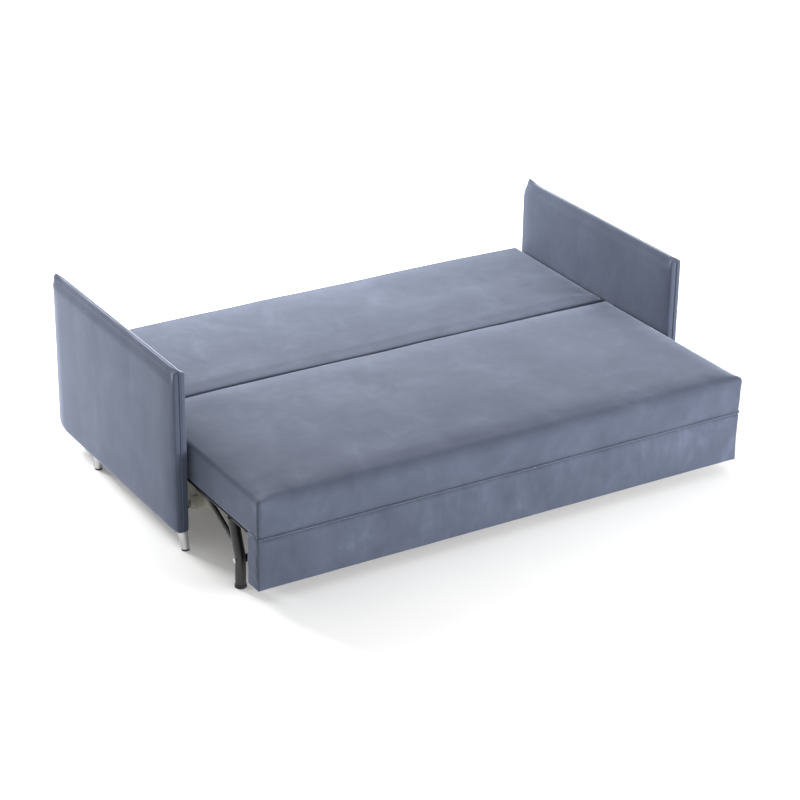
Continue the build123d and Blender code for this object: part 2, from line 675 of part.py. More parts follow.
with BuildPart() as back_cushion:
    with BuildSketch(Plane.YZ):
        with Locations(((BACK_FRONT + BED_REAR) / 2, (SOFT_BOTTOM + BED_TOP) / 2)):
            Rectangle(BED_REAR - BACK_FRONT, BED_TOP - SOFT_BOTTOM)
        front_low, front_top = vertices().group_by(Axis.X)[0].sort_by(Axis.Y)
        rear_low, rear_top = vertices().group_by(Axis.X)[-1].sort_by(Axis.Y)
        fillet(front_top, NOSE_RADIUS)
        fillet(rear_top, 24)
        fillet([front_low, rear_low], 18)
    extrude(amount=BACK_HALF, both=True)
    block(
        (-FRAME_HALF, BACK_FRAME_FRONT, BACK_FRAME_BOTTOM),
        (FRAME_HALF, BACK_FRAME_REAR, FRAME_TOP),
        Mode.SUBTRACT,
    )
    for side in (1, -1):
        ear_in, ear_out = side * (FRAME_HALF - BOARD), side * FRAME_HALF
        bar_along_x(ear_in, ear_out, PIVOT_Y, PIVOT_Z, EAR_RADIUS, Mode.SUBTRACT)
        bar_along_x(ear_out, side * (BACK_HALF + 1), PIVOT_Y, PIVOT_Z, BUSH_RADIUS + 0.5, Mode.SUBTRACT)
save(back_cushion, "back_cushion")

# ---------------------------------------------------------------- rear panel

panel_half = REAR_PANEL_HALF - REAR_PANEL_EDGE

with BuildPart() as rear_panel_board:
    block(
        (-panel_half, REAR_PANEL_FRONT + 1, REAR_PANEL_BOTTOM + REAR_PANEL_EDGE),
        (panel_half, REAR_PANEL_FRONT + 1 + REAR_PANEL_BOARD, REAR_PANEL_TOP - REAR_PANEL_EDGE),
    )
save(rear_panel_board, "rear_panel_board")

with BuildPart() as rear_panel_cover:
    block(
        (-REAR_PANEL_HALF, REAR_PANEL_FRONT, REAR_PANEL_BOTTOM),
        (REAR_PANEL_HALF, REAR_PANEL_REAR, REAR_PANEL_TOP),
    )
    fillet(faces().sort_by(Axis.Y)[-1].edges(), REAR_PANEL_EDGE - 2)
    block(
        (-panel_half, REAR_PANEL_FRONT - 1, REAR_PANEL_BOTTOM + REAR_PANEL_EDGE),
        (panel_half, REAR_PANEL_FRONT + 1 + REAR_PANEL_BOARD, REAR_PANEL_TOP - REAR_PANEL_EDGE),
        Mode.SUBTRACT,
    )
save(rear_panel_cover, "rear_panel_cover")

with BuildPart() as rear_brackets:
    for x in REAR_BRACKETS_X:
        rail_top = RAIL_BOTTOM + RAIL_HEIGHT
        left, right = x - REAR_BRACKET_WIDTH / 2, x + REAR_BRACKET_WIDTH / 2
        block((left, BOX_REAR + 2, rail_top), (right, REAR_PANEL_FRONT, rail_top + RAIL_STEEL))
        block((left, REAR_PANEL_FRONT - RAIL_STEEL, rail_top), (right, REAR_PANEL_FRONT, REAR_BRACKET_TOP))
save(rear_brackets, "rear_brackets")

with BuildPart() as back_rests:
    for x in BACK_RESTS_X:
        with BuildSketch(Plane.XY.offset(REAR_PANEL_TOP)):
            with Locations((x, (REAR_PANEL_FRONT + REAR_PANEL_REAR) / 2)):
                RectangleRounded(BACK_REST[0], BACK_REST[1], 6)
        extrude(amount=BACK_REST[2])
save(back_rests, "back_rests")
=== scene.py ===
import json
import math

import bmesh
import bpy
import numpy as np
from mathutils import Matrix, Vector


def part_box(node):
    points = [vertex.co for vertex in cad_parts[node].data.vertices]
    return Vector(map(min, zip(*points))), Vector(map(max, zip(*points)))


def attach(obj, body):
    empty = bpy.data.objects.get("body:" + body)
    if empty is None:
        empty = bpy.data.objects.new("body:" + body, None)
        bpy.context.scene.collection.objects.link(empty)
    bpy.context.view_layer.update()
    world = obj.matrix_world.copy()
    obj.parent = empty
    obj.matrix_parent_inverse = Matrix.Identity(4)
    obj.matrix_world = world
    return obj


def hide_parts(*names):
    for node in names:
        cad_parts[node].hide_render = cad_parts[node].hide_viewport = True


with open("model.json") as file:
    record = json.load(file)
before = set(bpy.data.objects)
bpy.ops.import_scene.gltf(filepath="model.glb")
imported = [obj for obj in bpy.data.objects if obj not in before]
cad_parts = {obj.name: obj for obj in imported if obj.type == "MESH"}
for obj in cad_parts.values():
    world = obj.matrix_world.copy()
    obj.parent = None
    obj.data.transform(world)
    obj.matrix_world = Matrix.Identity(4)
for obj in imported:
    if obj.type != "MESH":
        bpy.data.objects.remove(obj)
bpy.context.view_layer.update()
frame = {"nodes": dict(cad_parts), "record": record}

scene = bpy.context.scene
scene.view_settings.view_transform = "Standard"
MM = 0.001
random = np.random.default_rng(7)
NEAR_ZERO = 1e-9           # keeps a division away from zero


def smoothstep(value, low, high):
    """0 below low, 1 above high, and a smooth rise between them."""
    t = np.clip((value - low) / (high - low), 0, 1)
    return t * t * (3 - 2 * t)


def dome(value, low, high, power):
    """1 in the middle of a span, falling to 0 at both ends."""
    t = np.abs(2 * (value - low) / (high - low) - 1)
    return np.clip(1 - t**power, 0, 1)


def bell(distance, width):
    """1 at no distance, fading to nothing over a few widths."""
    return np.exp(-((distance / width) ** 2))


def rise(distance, width):
    """0 at no distance, coming close to 1 over a few widths."""
    return 1 - np.exp(-distance / width)


def waves(points, wavelength, count=14):
    """A smooth random field of about unit size, made of plane waves of mixed direction and length."""
    total = np.zeros(len(points))
    for _ in range(count):
        direction = random.normal(size=3)
        direction /= np.linalg.norm(direction)
        size = wavelength * random.uniform(0.6, 1.7)
        total += np.sin(points @ direction * (2 * math.pi / size) + random.uniform(0, 2 * math.pi))
    return total / math.sqrt(count / 2)


# ---------------------------------------------------------------- soft blocks: boxes with rounded edges

CUSHION_STEP = 19 * MM     # between the lattice lines on a cushion's flat faces
HEIGHT_STEP = 14 * MM      # the same, at most, up its sides
ROUND_STEP = 7 * MM        # along a rounded edge
LEAST_STEP = 2.2 * MM      # lattice lines closer than this become one
LEAST_ROUND = 4 * MM       # the lattice is as fine as for this radius at every end


def round_zone(edge, radius, sign):
    """Lattice lines across a rounded zone, at even angles of its quarter circle."""
    count = max(3, round(radius / ROUND_STEP))
    return [edge + sign * radius * (1 - math.tan(math.radians(45 * i / count))) for i in range(count + 1)]


def axis_lines(low, high, zones, end_radius, step):
    """Places of the lattice lines along one axis: close together in the rounded zones, step apart between."""
    lines = []
    for edge, radius, sign in ((low, zones[0], 1), (high, zones[1], -1)):
        lines += round_zone(edge, radius, sign) + round_zone(edge, end_radius, sign)
    inner_low, inner_high = low + zones[0], high - zones[1]
    count = max(1, round((inner_high - inner_low) / step))
    lines += list(np.linspace(inner_low, inner_high, count + 1))
    kept = [low]
    for value in sorted(lines):
        if value - kept[-1] > LEAST_STEP:
            kept.append(value)
    kept[-1] = high
    return np.array(kept)


def lattice(xs, ys, zs):
    """Vertices and quads of the surface of a box on these lattice lines."""
    last = (len(xs) - 1, len(ys) - 1, len(zs) - 1)
    index, points, quads = {}, [], []

    def vertex(i, j, k):
        if (i, j, k) not in index:
            index[(i, j, k)] = len(points)
            points.append((xs[i], ys[j], zs[k]))
        return index[(i, j, k)]

    for axis in range(3):
        a, b = [n for n in range(3) if n != axis]
        for side in (0, last[axis]):
            for m in range(last[a]):
                for n in range(last[b]):
                    corners = []
                    for da, db in ((0, 0), (1, 0), (1, 1), (0, 1)):
                        place = [0, 0, 0]
                        place[axis], place[a], place[b] = side, m + da, n + db
                        corners.append(vertex(*place))
                    outward = (side > 0) == (axis != 1)
                    quads.append(corners if outward else corners[::-1])
    return np.array(points), quads


def section_distance(y, z, span_y, span_z, radii):
    """Signed distance to a rectangle with its own radius at each corner; negative inside."""
    cy, cz = sum(span_y) / 2, sum(span_z) / 2
    hy, hz = (span_y[1] - span_y[0]) / 2, (span_z[1] - span_z[0]) / 2
    rear, top = y > cy, z > cz
    r = np.where(rear, np.where(top, radii[3], radii[2]), np.where(top, radii[1], radii[0]))
    qy, qz = np.abs(y - cy) - hy + r, np.abs(z - cz) - hz + r
    outside = np.hypot(np.maximum(qy, 0), np.maximum(qz, 0))
    return np.minimum(np.maximum(qy, qz), 0) + outside - r


def soft_block(name, low, high, radii, ends, step=CUSHION_STEP, wider=0.0):
    """A closed block with rounded edges.
    radii: the corners of its YZ section, front low, front top, rear low, rear top.
    ends: the radius round its two end faces, at the front and at the rear.
    wider: how far it reaches past low and high in X."""
    span_x, span_y, span_z = (low.x - wider, high.x + wider), (low.y, high.y), (low.z, high.z)
    widest = max(ends)
    zone_y = (max(radii[0], radii[1]), max(radii[2], radii[3]))
    zone_z = (max(radii[0], radii[2]), max(radii[1], radii[3]))
    xs = axis_lines(*span_x, (widest, widest), LEAST_ROUND, step)
    ys = axis_lines(*span_y, zone_y, widest, step)
    zs = axis_lines(*span_z, zone_z, widest, min(step, HEIGHT_STEP))
    p, quads = lattice(xs, ys, zs)
    x, y, z = p.T.copy()
    # the corners of the section: each square corner zone becomes a quarter disc
    for at_y, at_z, r in ((0, 0, radii[0]), (0, 1, radii[1]), (1, 0, radii[2]), (1, 1, radii[3])):
        centre_y = span_y[at_y] + (r if at_y == 0 else -r)
        centre_z = span_z[at_z] + (r if at_z == 0 else -r)
        off_y, off_z = p[:, 1] - centre_y, p[:, 2] - centre_z
        inside = (off_y * (1 if at_y else -1) > 0) & (off_z * (1 if at_z else -1) > 0)
        scale = np.maximum(np.abs(off_y), np.abs(off_z)) / np.maximum(np.hypot(off_y, off_z), NEAR_ZERO)
        y = np.where(inside, centre_y + off_y * scale, y)
        z = np.where(inside, centre_z + off_z * scale, z)
    # the ends: the edge between an end face and the section's outline becomes a quarter circle
    depth = -section_distance(y, z, span_y, span_z, radii)
    tiny = 1e-5
    slope_y = (section_distance(y + tiny, z, span_y, span_z, radii) + depth) / tiny
    slope_z = (section_distance(y, z + tiny, span_y, span_z, radii) + depth) / tiny
    slope = np.maximum(np.hypot(slope_y, slope_z), NEAR_ZERO)
    rearward = (y - span_y[0]) / (span_y[1] - span_y[0])
    at_low = x < sum(span_x) / 2
    radius = ends[0] + (ends[1] - ends[0]) * rearward
    past = np.maximum(np.where(at_low, span_x[0] + radius - x, x - span_x[1] + radius), 0)
    near = np.maximum(radius - depth, 0)
    ring = (past > 0) & (near > 0)
    scale = np.where(ring, np.maximum(past, near) / np.maximum(np.hypot(past, near), NEAR_ZERO), 1)
    new_depth = np.where(ring, radius - near * scale, depth)
    y = y - slope_y / slope * (new_depth - depth)
    z = z - slope_z / slope * (new_depth - depth)
    x = np.where(ring & at_low, span_x[0] + radius - past * scale, x)
    x = np.where(ring & ~at_low, span_x[1] - radius + past * scale, x)
    return mesh_object(name, np.stack([x, y, z], 1), quads)


def mesh_object(name, points, quads):
    mesh = bpy.data.meshes.new(name)
    mesh.from_pydata([tuple(q) for q in points], [], [tuple(q) for q in quads])
    mesh.validate()
    mesh.update()
    made = bpy.data.objects.new(name, mesh)
    scene.collection.objects.link(made)
    mesh.shade_smooth()
    return made


def get_points(piece, attribute="co"):
    """The vertices' places, or their normals with "normal"."""
    flat = np.zeros(len(piece.data.vertices) * 3)
    piece.data.vertices.foreach_get(attribute, flat)
    return flat.reshape(-1, 3)


def set_points(piece, points):
    piece.data.vertices.foreach_set("co", points.ravel())
    piece.data.update()


def tidy_normals(piece):
    """Turns every face outwards."""
    work = bmesh.new()
    work.from_mesh(piece.data)
    bmesh.ops.recalc_face_normals(work, faces=work.faces)
    work.to_mesh(piece.data)
    work.free()


def subdivide(piece):
    """One level of smooth subdivision, with the result kept in the mesh."""
    modifier = piece.modifiers.new("smooth", "SUBSURF")
    modifier.levels = modifier.render_levels = 1
    graph = bpy.context.evaluated_depsgraph_get()
    finer = bpy.data.meshes.new_from_object(piece.evaluated_get(graph))
    piece.modifiers.remove(modifier)
    old = piece.data
    piece.data = finer
    bpy.data.meshes.remove(old)
    finer.name = piece.name
    finer.shade_smooth()


def inflate(piece, pinned, limit):
    """Blows the cover up as cloth under pressure and keeps the result.
    pinned: the points that stay. limit: the furthest that any point moves."""
    frames = 20
    rest = get_points(piece)
    group = piece.vertex_groups.new(name="held")
    group.add([int(i) for i in np.nonzero(pinned)[0]], 1.0, "REPLACE")
    cloth = piece.modifiers.new("cover", "CLOTH")
    cloth.settings.quality = 4
    cloth.settings.mass = 0.25
    cloth.settings.tension_stiffness = 12
    cloth.settings.compression_stiffness = 12
    cloth.settings.shear_stiffness = 4
    cloth.settings.bending_stiffness = 0.4
    cloth.settings.vertex_group_mass = "held"
    cloth.settings.shrink_min = -0.01
    cloth.settings.use_pressure = True
    cloth.settings.uniform_pressure_force = 4.0
    cloth.settings.effector_weights.gravity = 0
    cloth.collision_settings.use_collision = False
    cloth.point_cache.frame_start = 1
    cloth.point_cache.frame_end = frames
    for frame_number in range(1, frames + 1):
        scene.frame_set(frame_number)
    graph = bpy.context.evaluated_depsgraph_get()
    blown = piece.evaluated_get(graph).to_mesh()
    moved = np.array([v.co for v in blown.vertices])
    piece.evaluated_get(graph).to_mesh_clear()
    piece.modifiers.remove(cloth)
    piece.vertex_groups.remove(group)
    scene.frame_set(1)
    shift = moved - rest
    size = np.maximum(np.linalg.norm(shift, axis=1), NEAR_ZERO)
    held = np.tanh(size / limit) * limit / size
    set_points(piece, rest + shift * held[:, None])


def directions(path):
    """The unit direction of travel at each point of a path."""
    ahead = np.gradient(path, axis=0)
    return ahead / np.linalg.norm(ahead, axis=1)[:, None]


def sweep(name, points, count):
    """A closed solid through rings of count points each."""
    quads = []
    last = len(points) - count
    for start in range(0, last, count):
        for n in range(count):
            m = (n + 1) % count
            quads.append((start + n, start + m, start + count + m, start + count + n))
    quads.append(tuple(range(count))[::-1])
    quads.append(tuple(range(last, last + count)))
    return mesh_object(name, points, quads)


def level_tube(name, path, radius, sides=10):
    """A round cord along a list of points at one height, with closed ends."""
    points = []
    for place, direction in zip(path, directions(path)):
        across = np.cross(direction, (0, 0, 1.0))
        across /= np.linalg.norm(across)
        other = np.cross(across, direction)
        for n in range(sides):
            angle = 2 * math.pi * n / sides
            points.append(place + radius * (math.cos(angle) * across + math.sin(angle) * other))
    return sweep(name, points, sides)


# ---------------------------------------------------------------- materials

class Paint:
    """A node material being made: shader values, and a few procedural building blocks."""

    def __init__(self, name, **constants):
        self.material = bpy.data.materials.new(name)
        self.material.use_nodes = True
        self.nodes = self.material.node_tree.nodes
        self.links = self.material.node_tree.links
        self.shader = self.nodes["Principled BSDF"]
        self.place = self.nodes.new("ShaderNodeTexCoord").outputs["Object"]
        for key, value in constants.items():
            self.shader.inputs[key.replace("_", " ")].default_value = value

    def stretched(self, scale):
        mapping = self.nodes.new("ShaderNodeMapping")
        mapping.inputs["Scale"].default_value = scale
        self.links.new(self.place, mapping.inputs["Vector"])
        return mapping.outputs["Vector"]

    def noise(self, scale, detail=3.0, rough=0.5, distortion=0.0, stretch=None):
        node = self.nodes.new("ShaderNodeTexNoise")
        node.inputs["Scale"].default_value = scale
        node.inputs["Detail"].default_value = detail
        node.inputs["Roughness"].default_value = rough
        node.inputs["Distortion"].default_value = distortion
        self.links.new(self.stretched(stretch) if stretch else self.place, node.inputs["Vector"])
        return node.outputs["Fac"]

    def remap(self, value, low, high, to_low, to_high):
        node = self.nodes.new("ShaderNodeMapRange")
        node.inputs["From Min"].default_value = low
        node.inputs["From Max"].default_value = high
        node.inputs["To Min"].default_value = to_low
        node.inputs["To Max"].default_value = to_high
        self.links.new(value, node.inputs["Value"])
        return node.outputs["Result"]

    def calc(self, operation, a, b):
        node = self.nodes.new("ShaderNodeMath")
        node.operation = operation
        for slot, value in zip(node.inputs, (a, b)):
            if isinstance(value, (int, float)):
                slot.default_value = value
            else:
                self.links.new(value, slot)
        return node.outputs["Value"]

    def mix(self, a, share_a, b, share_b):
        """The two values added, each times its own share."""
        return self.calc("ADD", self.calc("MULTIPLY", a, share_a), self.calc("MULTIPLY", b, share_b))

    def ramp(self, value, stops):
        node = self.nodes.new("ShaderNodeValToRGB")
        ramp = node.color_ramp
        while len(ramp.elements) < len(stops):
            ramp.elements.new(0.5)
        for element, (place, colour) in zip(ramp.elements, stops):
            element.position = place
            element.color = (*colour, 1)
        self.links.new(value, node.inputs["Fac"])
        return node.outputs["Color"]

    def colour(self, output):
        self.links.new(output, self.shader.inputs["Base Color"])

    def roughness(self, output):
        self.links.new(output, self.shader.inputs["Roughness"])

    def bump(self, height, strength, distance):
        node = self.nodes.new("ShaderNodeBump")
        node.inputs["Strength"].default_value = strength
        node.inputs["Distance"].default_value = distance
        self.links.new(height, node.inputs["Height"])
        self.links.new(node.outputs["Normal"], self.shader.inputs["Normal"])


VELVET = (0.070, 0.082, 0.118)
VELVET_SHEEN = {"Sheen_Weight": 0.9, "Sheen_Roughness": 0.3, "Sheen_Tint": (0.64, 0.70, 0.88, 1)}
NAP_TONES = ((0.30, -0.18), (0.47, -0.04), (0.55, 0.03), (0.70, 0.28))   # nap, and how much lighter it looks


def velvet(name, streak, contrast):
    """Short-pile velvet: cloudy nap, streaks along the pile and a soft sheen.
    streak: how the streaks are stretched. contrast: how strongly the nap changes the tone."""
    paint = Paint(name, Specular_IOR_Level=0.15, **VELVET_SHEEN)
    clouds = paint.noise(6.0, 4.0, 0.6, 0.7)
    brushed = paint.noise(11.0, 5.0, 0.62, 1.0, streak)
    pile = paint.noise(1400.0, 2.0, 0.6)
    nap = paint.mix(clouds, 0.6, brushed, 0.4)
    shade = paint.calc("ADD", nap, paint.remap(pile, 0.3, 0.7, -0.02, 0.02))
    stops = [(at, tuple(c * (1 + contrast * tone) for c in VELVET)) for at, tone in NAP_TONES]
    paint.colour(paint.ramp(shade, stops))
    paint.roughness(paint.remap(nap, 0.3, 0.7, 0.95, 0.8))
    paint.bump(paint.mix(pile, 0.5, brushed, 2.0), 0.2, 1.2 * MM)
    return paint.material


def enamel(name, dark, light, rough):
    """Sprayed paint on steel: faint orange peel, and a slight change of tone."""
    paint = Paint(name, Coat_Weight=0.15, Coat_Roughness=0.3)
    patches = paint.noise(30.0, 4.0, 0.6)
    peel = paint.noise(700.0, 2.0, 0.5)
    paint.colour(paint.ramp(patches, [(0.35, dark), (0.65, light)]))
    paint.roughness(paint.remap(patches, 0.3, 0.7, rough - 0.06, rough + 0.08))
    paint.bump(peel, 0.12, 0.4 * MM)
    return paint.material


def steel(name, dark, light, rough, stretch):
    """Bare or plated steel with fine drawn lines."""
    paint = Paint(name, Metallic=1.0, Anisotropic=0.3)
    lines = paint.noise(60.0, 5.0, 0.65, 0.0, stretch)
    smears = paint.noise(45.0, 3.0, 0.5)
    paint.colour(paint.ramp(smears, [(0.3, dark), (0.7, light)]))
    paint.roughness(paint.remap(lines, 0.3, 0.7, rough - 0.05, rough + 0.08))
    paint.bump(lines, 0.08, 0.3 * MM)
    return paint.material


def timber(name, dark, light, stretch, rough=0.6):
    """Wood: growth lines along the grain, fine pores and a little change of tone."""
    paint = Paint(name, Specular_IOR_Level=0.35)
    grain = paint.noise(9.0, 6.0, 0.62, 1.6, stretch)
    pores = paint.noise(160.0, 3.0, 0.6, 0.0, stretch)
    both = paint.mix(grain, 0.75, pores, 0.25)
    middle = tuple((a + b) / 2 for a, b in zip(dark, light))
    paint.colour(paint.ramp(both, [(0.34, dark), (0.5, middle), (0.64, light)]))
    paint.roughness(paint.remap(pores, 0.3, 0.7, rough - 0.05, rough + 0.1))
    paint.bump(both, 0.2, 0.6 * MM)
    return paint.material


def moulded(name, dark, light, rough):
    """Moulded plastic or rubber with a fine spark-eroded grain."""
    paint = Paint(name, Specular_IOR_Level=0.4)
    tone = paint.noise(40.0, 3.0, 0.5)
    grain = paint.noise(1100.0, 2.0, 0.6)
    paint.colour(paint.ramp(tone, [(0.35, dark), (0.65, light)]))
    paint.roughness(paint.remap(grain, 0.3, 0.7, rough - 0.05, rough + 0.1))
    paint.bump(grain, 0.2, 0.3 * MM)
    return paint.material


def laminate(name):
    """Light melamine on chipboard: a fine speckle and a soft gloss."""
    paint = Paint(name, Coat_Weight=0.1, Coat_Roughness=0.4)
    speckle = paint.noise(420.0, 3.0, 0.7)
    tone = paint.noise(5.0, 3.0, 0.5)
    both = paint.mix(speckle, 0.5, tone, 0.5)
    paint.colour(paint.ramp(both, [(0.35, (0.50, 0.47, 0.40)), (0.65, (0.66, 0.63, 0.56))]))
    paint.roughness(paint.remap(speckle, 0.3, 0.7, 0.4, 0.55))
    paint.bump(speckle, 0.1, 0.3 * MM)
    return paint.material


VELVET_TOP = velvet("velvet_top", (1.0, 1.0, 1.0), 0.8)
VELVET_ARM = velvet("velvet_arm", (1.4, 1.4, 0.4), 0.7)
VELVET_UPRIGHT = velvet("velvet_upright", (1.5, 1.5, 0.5), 1.25)
MATERIALS = {
    "velvet": VELVET_TOP,
    "plywood": timber("plywood", (0.34, 0.22, 0.12), (0.60, 0.44, 0.27), (1.0, 0.12, 0.12)),
    "timber": timber("timber", (0.42, 0.27, 0.14), (0.66, 0.48, 0.29), (0.1, 1.0, 1.0)),
    "slat_wood": timber("slat_wood", (0.50, 0.35, 0.19), (0.74, 0.58, 0.38), (1.0, 0.08, 1.0), 0.42),
    "black_plastic": moulded("black_plastic", (0.010, 0.010, 0.011), (0.022, 0.022, 0.023), 0.45),
    "laminate": laminate("laminate"),
    "foot_steel": steel("foot_steel", (0.50, 0.50, 0.50), (0.57, 0.57, 0.57), 0.34, (4.0, 4.0, 0.4)),
    "black_steel": enamel("black_steel", (0.008, 0.008, 0.009), (0.018, 0.018, 0.019), 0.36),
    "cream_steel": enamel("cream_steel", (0.50, 0.47, 0.38), (0.60, 0.57, 0.48), 0.45),
    "zinc_steel": steel("zinc_steel", (0.50, 0.50, 0.50), (0.72, 0.72, 0.70), 0.32, (1.0, 1.0, 1.0)),
    "rubber": moulded("rubber", (0.014, 0.014, 0.014), (0.026, 0.026, 0.026), 0.7),
}

slot_of = {part["node"]: part["material_slot"] for part in frame["record"]["subparts"]}
for node, piece in frame["nodes"].items():
    piece.data.materials.clear()
    # the arm's cloth is drawn under its board, whose lower edge is the part of it that shows
    wrapped = node.startswith("arm_board")
    piece.data.materials.append(VELVET_ARM if wrapped else MATERIALS[slot_of[node]])


def finish_trim(piece, material, body):
    """Paints a velvet piece and lets it ride on its body."""
    piece.data.materials.clear()
    piece.data.materials.append(material)
    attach(piece, body)


def finish_pad(piece, material, body, node):
    """Does the same for a padded piece, which stands for a CAD node."""
    finish_trim(piece, material, body)
    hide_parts(node)


# ---------------------------------------------------------------- seat cushion

SEAT_EDGE = 36 * MM            # radius of the front edge
SEAT_CROWN = 9 * MM
SEAT_SLOPE = 6 * MM            # how far the top comes down towards the front edge
SEAT_SLOPE_LENGTH = 100 * MM
SEAT_FRONT_BELLY = 11 * MM
SEAT_SIDE_BELLY = 3 * MM
SEAT_REAR_HOLLOW = 2 * MM
CORNER_REACH = 110 * MM        # over this length from each end, the front edge turns squarer
CORNER_SIZE = 32 * MM
CORNER_PULL = 6 * MM
COVER_HEM = 3 * MM             # faces whose middle is this near to the underside belong to it


def square_corner(points, centre, weight):
    """Turns the quarter round in front of and above a centre (y, z) squarer, by a weight from 0 to 1."""
    y, z = points[:, 1] - centre[0], points[:, 2] - centre[1]
    power = 2 + 6 * weight
    length = np.hypot(y, z) + NEAR_ZERO
    grow = (np.abs(y / length) ** power + np.abs(z / length) ** power) ** (-1 / power)
    grow = np.where((y < 0) & (z > 0), grow, 1)
    points[:, 1] = centre[0] + y * grow
    points[:, 2] = centre[1] + z * grow


def seat_shape():
    """The seat's cover, closed but for the pocket underneath."""
    low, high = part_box("seat_cushion")
    piece = soft_block("seat_cover", low, high, (13 * MM, SEAT_EDGE, 6 * MM, 13 * MM), (13 * MM, 13 * MM))
    flat = get_points(piece)
    p = flat.copy()
    from_end = high.x - np.abs(p[:, 0])
    square_corner(p, (low.y + SEAT_EDGE, high.z - SEAT_EDGE), 1 - smoothstep(from_end, 0, CORNER_REACH))
    tall = np.clip((p[:, 2] - low.z) / (high.z - low.z), 0, 1)
    across = dome(p[:, 0], low.x, high.x, 3.2)
    along = dome(p[:, 1], low.y, high.y + 120 * MM, 3.0)
    # the top is crowned, and slopes down towards the front edge
    slope = np.clip(1 - (p[:, 1] - low.y) / SEAT_SLOPE_LENGTH, 0, 1) ** 1.6
    p[:, 2] += tall * across * (SEAT_CROWN * along - SEAT_SLOPE * slope)
    # the front and side faces are full at mid height and drawn in at their seams; the rear face is hollow
    belly = np.sin(math.pi * tall) ** 0.8
    facing = get_points(piece, "normal")
    on_front = facing[:, 1] < -0.5
    p[:, 1] += np.where(on_front, -SEAT_FRONT_BELLY, 0) * belly * across**0.25
    p[:, 1] += np.where(facing[:, 1] > 0.5, -SEAT_REAR_HOLLOW, 0) * belly
    p[:, 0] += np.sign(p[:, 0]) * np.where(np.abs(facing[:, 0]) > 0.5, SEAT_SIDE_BELLY, 0) * belly
    set_points(piece, p)
    inflate(piece, tall < 0.03, 4 * MM)
    p = get_points(piece)
    p[:, 2] += tall * 0.7 * MM * waves(flat * (1, 1, 0.3), 0.34)
    p[:, 1] += np.where(on_front, 0.6 * MM, 0) * waves(flat, 0.22)
    # the upper front corners stand out a little, as sewn corners do
    away = np.linalg.norm((high.x - np.abs(flat[:, 0]), flat[:, 1] - low.y, high.z - flat[:, 2]), axis=0)
    pull = bell(away, CORNER_SIZE)[:, None]
    p += pull * CORNER_PULL * np.column_stack([np.sign(flat[:, 0]), 0 * away - 1, 0 * away + 0.4])
    set_points(piece, p)
    subdivide(piece)
    open_pocket(piece, low.z)
    return piece


def open_pocket(piece, bottom):
    """Cuts the seat cover's underside open over the frame, and turns the cloth up inside the opening."""
    front_low, front_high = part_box("seat_frame_front")
    rear_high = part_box("seat_frame_rear")[1]
    x_half = rear_high.x + 1 * MM
    y_front, y_rear = front_low.y - 1 * MM, rear_high.y + 1 * MM
    work = bmesh.new()
    work.from_mesh(piece.data)
    for place, normal in (
        ((-x_half, 0, 0), (1, 0, 0)),
        ((x_half, 0, 0), (1, 0, 0)),
        ((0, y_front, 0), (0, 1, 0)),
        ((0, y_rear, 0), (0, 1, 0)),
    ):
        under = [f for f in work.faces if f.calc_center_median().z < bottom + COVER_HEM]
        around = {e for f in under for e in f.edges} | {v for f in under for v in f.verts}
        geometry = under + list(around)
        bmesh.ops.bisect_plane(work, geom=geometry, plane_co=place, plane_no=normal, dist=0.5 * MM)
    middle = []
    for face in work.faces:
        centre = face.calc_center_median()
        if centre.z < bottom + COVER_HEM and abs(centre.x) < x_half and y_front < centre.y < y_rear:
            middle.append(face)
    bmesh.ops.delete(work, geom=middle, context="FACES")
    rim = [e for e in work.edges if e.is_boundary]
    ceiling = front_high.z + 0.5 * MM
    for level in (bottom + 4 * MM, (bottom + ceiling) / 2, ceiling):
        grown = bmesh.ops.extrude_edge_only(work, edges=rim)["geom"]
        rim = [e for e in grown if isinstance(e, bmesh.types.BMEdge) and e.is_boundary]
        for v in {v for e in rim for v in e.verts}:
            v.co.z = level
    bmesh.ops.holes_fill(work, edges=rim, sides=0)
    bmesh.ops.recalc_face_normals(work, faces=work.faces)
    work.to_mesh(piece.data)
    work.free()


def seat_piping():
    """The piping along the foot of the seat's front face, turned back a little way round both corners."""
    low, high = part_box("seat_cushion")
    corner = 15 * MM
    side_proud = 0.5 * MM
    front_proud = 1.5 * MM
    turn = [(low.x - side_proud, low.y + 60 * MM)]
    for angle in [math.radians(90 * i / 6) for i in range(7)]:
        x = low.x + corner * (1 - math.cos(angle)) - side_proud
        turn.append((x, low.y + corner * (1 - math.sin(angle)) - front_proud))
    straight = [(x, low.y - front_proud) for x in np.linspace(low.x + 50 * MM, high.x - 50 * MM, 80)]
    path = turn + straight + [(-x, y) for x, y in turn[::-1]]
    return level_tube("seat_piping", np.array([(x, y, low.z + 4 * MM) for x, y in path]), 2.8 * MM)


finish_pad(seat_shape(), VELVET_TOP, "seat", "seat_cushion")
finish_trim(seat_piping(), VELVET_TOP, "seat")

# ---------------------------------------------------------------- back cushion

BACK_CROWN = 8 * MM
BACK_REAR_LIFT = 8 * MM
BACK_FRONT_DROP = 5 * MM
BACK_DROP_LENGTH = 62 * MM


